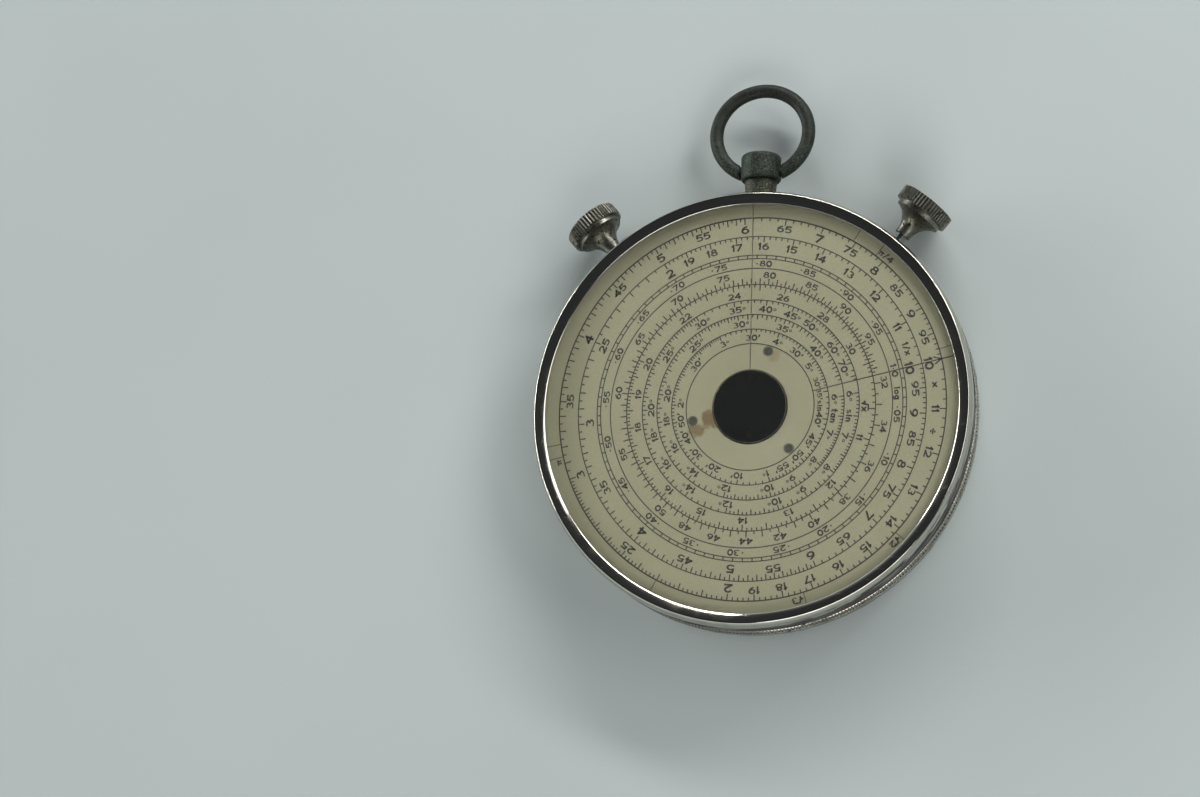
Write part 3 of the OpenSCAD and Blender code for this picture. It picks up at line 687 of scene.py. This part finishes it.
def make_knobs():
    nickel = knob_nickel()
    flare_r = KNOB_NECK_R + FLARE_R
    flare_z = KNOB_HEAD - SHOULDER_H - FLARE_R
    flare_end = 180 - math.degrees(math.acos((flare_r - SHOULDER_R) / FLARE_R))
    profile = [(KNOB_BORE_R, KNOB_START), (KNOB_NECK_R, KNOB_START, 0.06),
               *arc(flare_r, flare_z, FLARE_R, 180, flare_end, 24),
               (SHOULDER_R, KNOB_HEAD, 0.02), (KNOB_DRUM_R, KNOB_HEAD),
               (KNOB_DRUM_R, KNOB_FACE - 0.03), (KNOB_RIM_R, KNOB_FACE, 0.06),
               (KNOB_RIM_IN_R, KNOB_FACE, 0.06), (KNOB_DISH_R, KNOB_FACE - 0.06),
               (KNOB_BOSS_R, KNOB_BOSS_TOP, 0.2), (0, KNOB_BOSS_TOP)]
    for owner, azimuth in (("dial", DIAL_AZ), ("cursor", CURSOR_AZ)):
        knurl = ridge_ring(KNURL_RIDGES, KNOB_DRUM_R - 0.02, KNOB_R, foot_w=0.44, crest_w=0.24,
                           low=KNOB_HEAD + 0.01, high=KNOB_FACE - 0.02, slope=0.05)
        knob = on_stem(joined(lathe(profile, SMALL_STEPS), knurl), azimuth)
        piece(knob, owner + "_crown", owner + "_knob", nickel, [owner + "_knob"])


def make_dial():
    card = lathe([(HOLE_R, CARD_Z), (DIAL_R, CARD_Z), (DIAL_R, FACE_Z, 0.04),
                  (HOLE_R, FACE_Z, 0.05)], RING_STEPS, closed=True)
    piece(card, "card", "dial", dial_card_finish(), ["dial_card"])

    rivets = None
    for x, y in rivet_places():
        rivet = lathe([(0, FACE_Z + 0.03), (RIVET_BODY_R, FACE_Z + 0.025),
                       (RIVET_R, FACE_Z - 0.02, 0.1), (RIVET_R, RIVET_HEAD_Z),
                       (RIVET_BODY_R, RIVET_HEAD_Z), (RIVET_BODY_R, RIVET_FOOT_TOP),
                       (RIVET_R, RIVET_FOOT_TOP), (RIVET_R, RIVET_FOOT_Z), (0, RIVET_FOOT_Z)],
                      RIVET_STEPS)
        move(rivet, Matrix.Translation((x * MM, y * MM, 0)))
        rivets = rivet if rivets is None else joined(rivets, rivet)
    piece(rivets, "rivets", "dial", rivet_metal(), ["dial_rivets"])

    disc = lathe([(0, CENTRE_Z), (CENTRE_R, CENTRE_Z), (CENTRE_R, CENTRE_TOP, 0.05, 3),
                  (CENTRE_RIM_IN_R, CENTRE_TOP), (ENAMEL_R, ENAMEL_TOP), (0, ENAMEL_TOP)],
                 DISC_STEPS)
    # The enamel is the sunk middle of the top, and the rest is bare metal
    for face in disc.faces:
        middle = face.calc_center_median()
        on_top = middle.z > (CENTRE_TOP - 0.06) * MM
        inside = math.hypot(middle.x, middle.y) < (ENAMEL_R + 0.005) * MM
        face.material_index = 0 if on_top and inside else 1
    rim = inner_metal("disc_rim", rgb(128, 126, 112), rgb(96, 93, 80), 0.3)
    piece(disc, "black_disc", "cursor", [black_enamel(), rim], ["centre_disc"])


# Dial markings

# Each sign's width and strokes, one unit high: polylines as points, and arcs as (centre x, y,
# radius x, y, from, to), with their line's width last where it differs. The letter o is the
# degree ring, O the letter, r the root sign and p the ratio of a circle.
SIGNS = {
    "0": (0.8, [(0.4, 0.5, 0.38, 0.5, 0, 360)]),
    "1": (0.24, [((0.0, 0.8), (0.17, 1), (0.17, 0))]),
    "2": (0.8, [(0.4, 0.68, 0.36, 0.32, 165, -38), ((0.69, 0.49), (0.04, 0.0), (0.8, 0.0))]),
    "3": (0.76, [(0.38, 0.75, 0.31, 0.25, 150, -90), (0.38, 0.25, 0.38, 0.25, 90, -150)]),
    "4": (0.82, [((0.62, 0), (0.62, 1), (0, 0.3), (0.82, 0.3))]),
    "5": (0.78, [((0.72, 1), (0.14, 1), (0.08, 0.55)), (0.38, 0.31, 0.4, 0.31, 140, -150)]),
    "6": (0.8, [(0.8, 0.34, 0.76, 0.66, 100, 178), (0.41, 0.31, 0.37, 0.31, 0, 360)]),
    "7": (0.76, [((0, 1), (0.76, 1), (0.25, 0))]),
    "8": (0.78, [(0.39, 0.76, 0.28, 0.24, 0, 360), (0.39, 0.26, 0.38, 0.26, 0, 360)]),
    "9": (0.8, [(0.39, 0.69, 0.37, 0.31, 0, 360), (0.0, 0.66, 0.76, 0.66, -2, -80)]),
    ".": (0.3, [((0.04, 0.4), (0.05, 0.4))]),
    "o": (0.44, [(0.2, 0.6, 0.19, 0.19, 0, 360, 0.13)]),
    "'": (0.16, [((0.13, 1), (0.05, 0.72))]),
    "/": (0.5, [((0.02, -0.05), (0.48, 1.05))]),
    "x": (0.5, [((0, 0), (0.5, 0.62)), ((0, 0.62), (0.5, 0))]),
    "r": (0.62, [((0, 0.42), (0.16, 0.5), (0.32, 0), (0.55, 1.08), (1.3, 1.08))]),
    "p": (0.74, [((0, 0.62), (0.74, 0.62)), ((0.2, 0.62), (0.16, 0)), ((0.56, 0.62), (0.6, 0))]),
    "*": (0.6, [((0, 0.15), (0.6, 0.75)), ((0, 0.75), (0.6, 0.15))]),
    ":": (0.6, [((0, 0.45), (0.6, 0.45)), ((0.26, 0.78), (0.34, 0.78)),
                ((0.26, 0.12), (0.34, 0.12))]),
    "s": (0.5, [(0.25, 0.46, 0.2, 0.15, 30, 270), (0.25, 0.155, 0.22, 0.155, 90, -150)]),
    "i": (0.12, [((0.06, 0), (0.06, 0.6)), ((0.06, 0.82), (0.06, 0.88))]),
    "n": (0.5, [((0.04, 0), (0.04, 0.62)), (0.26, 0.4, 0.22, 0.22, 180, 0),
                ((0.48, 0.4), (0.48, 0))]),
    "t": (0.4, [((0.16, 0.95), (0.16, 0.08), (0.34, 0)), ((0, 0.62), (0.38, 0.62))]),
    "a": (0.56, [(0.27, 0.3, 0.25, 0.3, 0, 360), ((0.54, 0.62), (0.54, 0))]),
    "l": (0.12, [((0.06, 0), (0.06, 1))]),
    "O": (0.6, [(0.3, 0.31, 0.28, 0.31, 0, 360)]),
    "g": (0.56, [(0.27, 0.31, 0.25, 0.31, 0, 360), ((0.54, 0.62), (0.54, -0.1)),
                 (0.29, -0.1, 0.25, 0.22, 0, -150)]),
}
# Line width, gap between signs and widening of the signs, as shares of their height
STROKE = 0.25
GAP = 0.32
WIDE = 1.18

# Widths of lines in mm
FINE = 0.15
THICK = 0.19
TICK_W = 0.165
EDGE_TICK_W = 0.1
ARROW_W = 0.2
INK_DEPTH = 0.012


# Degrees clockwise from the index at which a value stands on each scale

def log_turn(value):
    return 360 * math.log10(value)


def inverse_turn(value):
    return -log_turn(value)


def root_turn(value):
    return 2 * log_turn(value)


def sine_turn(degrees):
    return log_turn(10 * math.sin(math.radians(degrees)))


def tangent_turn(degrees):
    return log_turn(10 * math.tan(math.radians(degrees)))


def minute_turn(minutes):
    return log_turn(100 * math.sin(math.radians(minutes / 60)))


# The outer scale's radius in mm. Places, lengths and heights on the dial are shares of it.
SCALE_R = 29.5

# A scale: where a value stands, the circle that its ticks start from, their longer and shorter
# lengths outwards, and the middle and height of its numbers
Ring = namedtuple("Ring", "turn circle longer shorter middle tall")
NUMBERS = Ring(log_turn, 1.0, -0.034, -0.018, 0.946, 0.031)
INVERSES = Ring(inverse_turn, 0.8992, -0.031, -0.017, 0.846, 0.031)
ROOTS_OUT = Ring(root_turn, 0.6433, 0.033, 0.0165, 0.695, 0.0265)
ROOTS_IN = Ring(root_turn, 0.6433, -0.0325, -0.0165, 0.589, 0.0265)
SINES = Ring(sine_turn, 0.5608, -0.027, -0.0155, 0.5145, 0.0275)
TANGENTS = Ring(tangent_turn, 0.484, -0.026, -0.0155, 0.4365, 0.0265)
MINUTES = Ring(minute_turn, 0.4069, -0.025, -0.0145, 0.361, 0.0255)
LOG_CIRCLE, LOG_IN_CIRCLE, LOG_MIDDLE, LOG_TALL = 0.7995, 0.7812, 0.755, 0.026
PLAIN_CIRCLE = 0.7291
INNER_CIRCLE = 0.3305
EDGE_END, EDGE_MIDDLE, EDGE_TALL = 1.075, 1.031, 0.026

# Numbers that differ from the rest of their ring, in height, distance inwards or degrees aside
SINGLE_TALL, SINGLE_LOWER = 0.036, 0.008
INDEX_TALL, INDEX_LOWER, INDEX_ASIDE = 0.035, 0.014, 0.5
CROWDED_MINUTES, CROWDED_TALL = (35, 330), 0.0205

# Arrow head of the index: degrees to each side, inner end and lean of its two strokes
ARROW_ASIDE, ARROW_END, ARROW_LEAN = 0.57, 0.959, 28

# Maths signs: text, degrees from the index, place and height
RING_SIGNS = (("*", 7.4, NUMBERS.middle, 0.028), (":", 22, NUMBERS.middle, 0.03),
              ("1/x", -6.5, INVERSES.middle, 0.027), ("lOg", 9, LOG_MIDDLE, 0.026),
              ("rx", 14, 0.59, 0.029), ("sin", 19.5, SINES.middle, 0.028),
              ("tan", 20.5, TANGENTS.middle, 0.027), ("sin", 13.5, MINUTES.middle, 0.024))
# Lines outside the scale: the value they stand at, their sign and its degrees to the side
EDGE_LINES = ((7.46, "", 0), (math.pi / 0.4, "p/4", 2.5), (9.81, "", 0), (2 ** 0.5, "r2", 2.1),
              (3 ** 0.5, "r3", 2.1), (2.3026, "", 0), (math.pi, "p", -1.4), (3.22, "", 0))


def stroke_line(bm, points):
    """A flat strip along each part of a polyline."""
    for a, b in zip(points, points[1:]):
        along = (Vector(b) - Vector(a)).normalized() * STROKE / 2
        across = Vector((-along.y, along.x))
        start = [bm.verts.new((*(Vector(a) - along + side), 0)) for side in (across, -across)]
        grown = bmesh.ops.extrude_edge_only(bm, edges=[bm.edges.new(start)])["geom"]
        bmesh.ops.translate(bm, verts=new_verts(grown),
                            vec=(*(Vector(b) - Vector(a) + 2 * along), 0))


def stroke_arc(bm, x, y, rx, ry, start, end, width=STROKE):
    """A flat strip along an arc: a short edge spun round, then squeezed to its height."""
    at = math.radians(start)
    verts = [bm.verts.new((r * math.cos(at), r * math.sin(at), 0))
             for r in (rx - width / 2, rx + width / 2)]
    edge = bm.edges.new(verts)
    old = set(bm.verts) - set(verts)
    sweep = end - start
    bmesh.ops.spin(bm, geom=verts + [edge], cent=(0, 0, 0), axis=(0, 0, 1),
                   angle=math.radians(sweep), steps=max(4, round(abs(sweep) / 15)),
                   use_merge=abs(sweep) == 360)
    squeeze = Matrix.Translation((x, y, 0)) @ Matrix.Diagonal((1, ry / rx, 1, 1))
    bmesh.ops.transform(bm, matrix=squeeze, verts=[v for v in bm.verts if v not in old])


def sign_mesh(strokes):
    bm = bmesh.new()
    for stroke in strokes:
        if isinstance(stroke[0], tuple):
            stroke_line(bm, stroke)
        else:
            stroke_arc(bm, *stroke)
    return as_mesh(bm, "sign")


class Printing:
    """Ink on the dial card: circles, ticks and signs, by radius as a share of the outer scale's
    radius and by degrees clockwise from the index."""

    def __init__(self):
        self.bm = bmesh.new()
        self.signs = {key: (width, sign_mesh(strokes))
                      for key, (width, strokes) in SIGNS.items()}
        bar = bmesh.new()
        bmesh.ops.create_grid(bar, x_segments=1, y_segments=1, size=0.5)
        self.bar = as_mesh(bar, "sign")

    def put(self, mesh, matrix):
        copy = mesh.copy()
        copy.transform(matrix)
        self.bm.from_mesh(copy)
        bpy.data.meshes.remove(copy)

    def polar(self, angle, radius):
        return (turned(-(INDEX_TURN + angle), "Z")
                @ Matrix.Translation((0, radius * SCALE_R * MM, FACE_Z * MM)))

    def circle(self, radius, width=FINE):
        ring = bmesh.new()
        verts = [ring.verts.new(((radius * SCALE_R + side * width / 2) * MM, 0, FACE_Z * MM))
                 for side in (-1, 1)]
        bmesh.ops.spin(ring, geom=verts + [ring.edges.new(verts)], cent=(0, 0, 0),
                       axis=(0, 0, 1), angle=TURN, steps=RING_STEPS, use_merge=True)
        joined(self.bm, ring)

    def tick(self, angle, start, end, width=TICK_W, lean=0):
        size = Matrix.Diagonal((width * MM, abs(end - start) * SCALE_R * MM, 1, 1))
        self.put(self.bar, self.polar(angle, (start + end) / 2) @ turned(-lean, "Z") @ size)

    def ticks(self, ring, *runs):
        """A ring's ticks. A run is (from, to, step, every how many a longer one)."""
        for low, high, step, long_every in runs:
            for k in range(round((high - low) / step)):
                reach = ring.shorter if k % long_every else ring.longer
                self.tick(ring.turn(low + k * step), ring.circle, ring.circle + reach)

    def number(self, ring, text, value):
        self.label(text, ring.turn(value), ring.middle, ring.tall)

    def label(self, text, angle, radius, height):
        """Signs with their digits centred on this place, tops outwards; height as a share of
        the scale's radius."""
        size = height * SCALE_R * MM
        x = (GAP - self.span(text.strip(".o'"))) / 2
        if text[0] == ".":
            x -= self.span(".")
        for c in text:
            width, mesh = self.signs[c]
            self.put(mesh, self.polar(angle, radius) @ Matrix.Diagonal((size * WIDE, size, 1, 1))
                     @ Matrix.Translation((x, -0.5, 0)))
            x += width + GAP

    def span(self, text):
        return sum(self.signs[c][0] + GAP for c in text)

    def finish(self):
        """Makes the piece, with every face upwards and the ink's depth."""
        down = [face for face in self.bm.faces if face.normal.z < 0]
        bmesh.ops.reverse_faces(self.bm, faces=down)
        ink = ink_finish("line_ink", rgb(8, 8, 7), rgb(18, 17, 14))
        made = piece(self.bm, "dial_print", "dial", ink)
        thicken = made.modifiers.new("Thickness", "SOLIDIFY")
        thicken.thickness = INK_DEPTH * MM
        thicken.offset = 0.4
        for mesh in [self.bar] + [mesh for _, mesh in self.signs.values()]:
            bpy.data.meshes.remove(mesh)


def print_numbers(ink):
    """The outer scale of numbers and the inverse scale inside it."""
    ink.circle(NUMBERS.circle, THICK)
    ink.ticks(NUMBERS, (1, 3, 0.02, 5), (3, 6, 0.05, 2), (6, 10, 0.1, 5))
    ink.circle(INVERSES.circle)
    ink.ticks(INVERSES, (1, 2, 0.02, 5), (2, 6, 0.05, 2), (6, 10, 0.1, 5))
    for tenths in [*range(10, 20), *range(20, 100, 5)]:
        text, tall, lower, aside = str(tenths), NUMBERS.tall, 0, 0
        if tenths == 10:
            tall, lower, aside = INDEX_TALL, INDEX_LOWER, INDEX_ASIDE
        elif tenths % 10 == 0:
            text, tall, lower = str(tenths // 10), SINGLE_TALL, SINGLE_LOWER
        for ring in (NUMBERS, INVERSES):
            ink.label(text, ring.turn(tenths / 10) + aside, ring.middle - lower, tall)


def print_logs_and_roots(ink):
    for radius in (LOG_CIRCLE, LOG_IN_CIRCLE, PLAIN_CIRCLE, ROOTS_IN.circle, SINES.circle,
                   TANGENTS.circle, MINUTES.circle, INNER_CIRCLE):
        ink.circle(radius)
    for hundredth in range(100):
        ink.tick(3.6 * hundredth, LOG_CIRCLE, LOG_IN_CIRCLE)
    for twentieth in range(1, 21):
        text = "1.0" if twentieth == 20 else f".{5 * twentieth:02d}"
        ink.label(text, 18 * twentieth, LOG_MIDDLE, LOG_TALL)

    ink.ticks(ROOTS_IN, (1, 2, 0.01, 5), (2, 10 ** 0.5, 0.02, 5))
    ink.ticks(ROOTS_OUT, (3.2, 10, 0.05, 2))
    for tenths in [*range(32, 50, 2), *range(50, 100, 5)]:
        ink.number(ROOTS_OUT, str(tenths), tenths / 10)
    for tenths in [*range(11, 21), *range(22, 31, 2)]:
        ink.number(ROOTS_IN, str(tenths), tenths / 10)


def print_angles(ink):
    """Sines and tangents in degrees, and sines of small angles in minutes."""
    low = ((6, 8, 1 / 12, 6), (8, 12, 1 / 6, 3), (12, 30, 1 / 3, 3))
    ink.ticks(SINES, *low, (30, 60, 1, 5), (60, 70, 2, 5), (70, 90, 5, 2))
    ink.ticks(TANGENTS, *low, (30, 45, 0.5, 2))
    ink.ticks(MINUTES, (35, 60, 1, 5), (60, 180, 2, 5), (180, 344, 5, 6))
    for degrees in [6, 7, 8, 9, *range(10, 20, 2), *range(20, 50, 5), 50, 60, 70]:
        ink.number(SINES, f"{degrees}o", degrees)
        if degrees <= 40:
            ink.number(TANGENTS, f"{degrees}o", degrees)
    for minutes in [*range(35, 60, 5), *range(60, 120, 10), *range(120, 344, 30)]:
        text = f"{minutes % 60}'" if minutes % 60 else f"{minutes // 60}o"
        tall = CROWDED_TALL if minutes in CROWDED_MINUTES else MINUTES.tall
        ink.label(text, minute_turn(minutes), MINUTES.middle, tall)


def print_dial():
    ink = Printing()
    print_numbers(ink)
    print_logs_and_roots(ink)
    print_angles(ink)
    for text, angle, radius, tall in RING_SIGNS:
        ink.label(text, angle, radius, tall)
    for value, text, aside in EDGE_LINES:
        ink.tick(log_turn(value), NUMBERS.circle, EDGE_END, EDGE_TICK_W)
        if text:
            ink.label(text, log_turn(value) + aside, EDGE_MIDDLE, EDGE_TALL)
    # The index line and its arrow head
    ink.tick(0, EDGE_END, INNER_CIRCLE)
    for side in (-1, 1):
        ink.tick(ARROW_ASIDE * side, NUMBERS.circle, ARROW_END, ARROW_W, -ARROW_LEAN * side)
    ink.finish()


# CAD nodes that keep their own shape

def dress_nodes():
    brass = inner_metal("brass", rgb(188, 160, 98), rgb(150, 122, 70), 0.24)
    steel = inner_metal("steel", rgb(142, 144, 146), rgb(112, 113, 112), 0.24)
    plate = inner_metal("plate_metal", rgb(170, 170, 166), rgb(140, 139, 132), 0.34)
    dark = inner_metal("screw_steel", rgb(58, 54, 42), rgb(44, 41, 33), 0.34)
    faint = ink_finish("hairline_ink", rgb(58, 54, 43), rgb(70, 66, 54))
    glass = clear_sheet("glass", (1.0, 1.0, 1.0, 1.0), 0.03)
    celluloid = clear_sheet("celluloid", (0.99, 0.985, 0.95, 1.0), 0.05)
    finishes = {
        brass: ["base_plate", "centre_bearing", "stem_cock", "dial_wheel", "dial_pipe",
                "cursor_wheel", "dial_pinion", "cursor_pinion"],
        steel: ["plate_screws", "cursor_arbor", "dial_stem", "cursor_stem", "glass_ring"],
        plate: ["dial_plate"],
        dark: ["cursor_screws"],
        faint: ["cursor_hairline", "datum_line"],
        glass: ["front_glass"],
        celluloid: ["cursor_disc"],
    }
    for material, names in finishes.items():
        for name in names:
            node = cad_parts[name]
            node.data.materials.clear()
            node.data.materials.append(material)
    # Clear pieces and fine lines would darken the card, so they throw no shadow
    for name in ("front_glass", "cursor_disc", "cursor_hairline", "datum_line"):
        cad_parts[name].visible_shadow = False


# Stage, in metres

FLOOR_R = 0.85
HORIZON_LEFT = (1.36, 1.46, 1.48, 1)
HORIZON_RIGHT = (0.2, 0.21, 0.22, 1)
UPPER_SKY = (0.034, 0.038, 0.041, 1)
LAMP_DISTANCE = 0.9
# Name, direction, width, height and watts. They are low and wide, so that the bezel's thin lip
# mirrors them and its face stays dark.
LAMPS = (("key", (0.32, 0.83, 0.5), 1.0, 0.1, 6.3),
         ("right_strip", (0.7, 0.22, 0.68), 0.9, 0.26, 2.6),
         ("left_fill", (-0.9, 0.23, 0.28), 0.8, 0.08, 4.4),
         ("front_fill", (0.3, -0.75, 0.62), 0.8, 0.4, 3.5))
# The photograph's view, solved from the dial's circles, with the camera's place in mm
CAMERA_LENS = 87.53
CAMERA_AT = (85.58, -101.59, 427.04)
CAMERA_FORWARD = (-0.24557, 0.23368, -0.94079)
CAMERA_UP = (0.02804, 0.97182, 0.23407)


def make_stage():
    bm = bmesh.new()
    bmesh.ops.create_circle(bm, cap_ends=True, segments=128, radius=FLOOR_R)
    floor = placed("floor", as_mesh(bm, "floor"))
    floor.data.materials.append(floor_finish())

    world = bpy.data.worlds.new("studio")
    world.use_nodes = True
    tree = world.node_tree
    outwards = add(tree, "TexCoord").outputs["Generated"]
    way = add(tree, "SeparateXYZ", {"Vector": outwards}).outputs
    horizon = mixed(tree, ramp(tree, way["X"], 0.1, 0.7), HORIZON_LEFT, HORIZON_RIGHT)
    sky = mixed(tree, ramp(tree, way["Z"], 0.06, 0.48), horizon, UPPER_SKY)
    tree.links.new(sky, tree.nodes["Background"].inputs["Color"])
    bpy.context.scene.world = world

    for name, toward, wide, high, watts in LAMPS:
        lamp = bpy.data.lights.new(name, "AREA")
        lamp.shape = "RECTANGLE"
        lamp.size = wide
        lamp.size_y = high
        lamp.energy = watts
        holder = placed(name, lamp)
        toward = Vector(toward).normalized()
        holder.location = toward * LAMP_DISTANCE
        holder.rotation_euler = toward.to_track_quat("Z", "Y").to_euler()


def make_camera():
    camera = bpy.data.cameras.new("camera")
    camera.lens = CAMERA_LENS
    camera.sensor_width = 36.0
    camera.sensor_fit = "HORIZONTAL"
    camera.clip_start = 0.01
    holder = placed("camera", camera)
    forward = Vector(CAMERA_FORWARD).normalized()
    right = forward.cross(Vector(CAMERA_UP)).normalized()
    up = right.cross(forward)
    facing = Matrix((right, up, -forward)).transposed().to_4x4()
    holder.matrix_world = Matrix.Translation(Vector(CAMERA_AT) * MM) @ facing
    bpy.context.scene.camera = holder


bpy.context.scene.view_settings.view_transform = "Standard"
make_case()
make_pendant()
make_knobs()
make_dial()
print_dial()
dress_nodes()
make_stage()
make_camera()

bpy.context.view_layer.update()
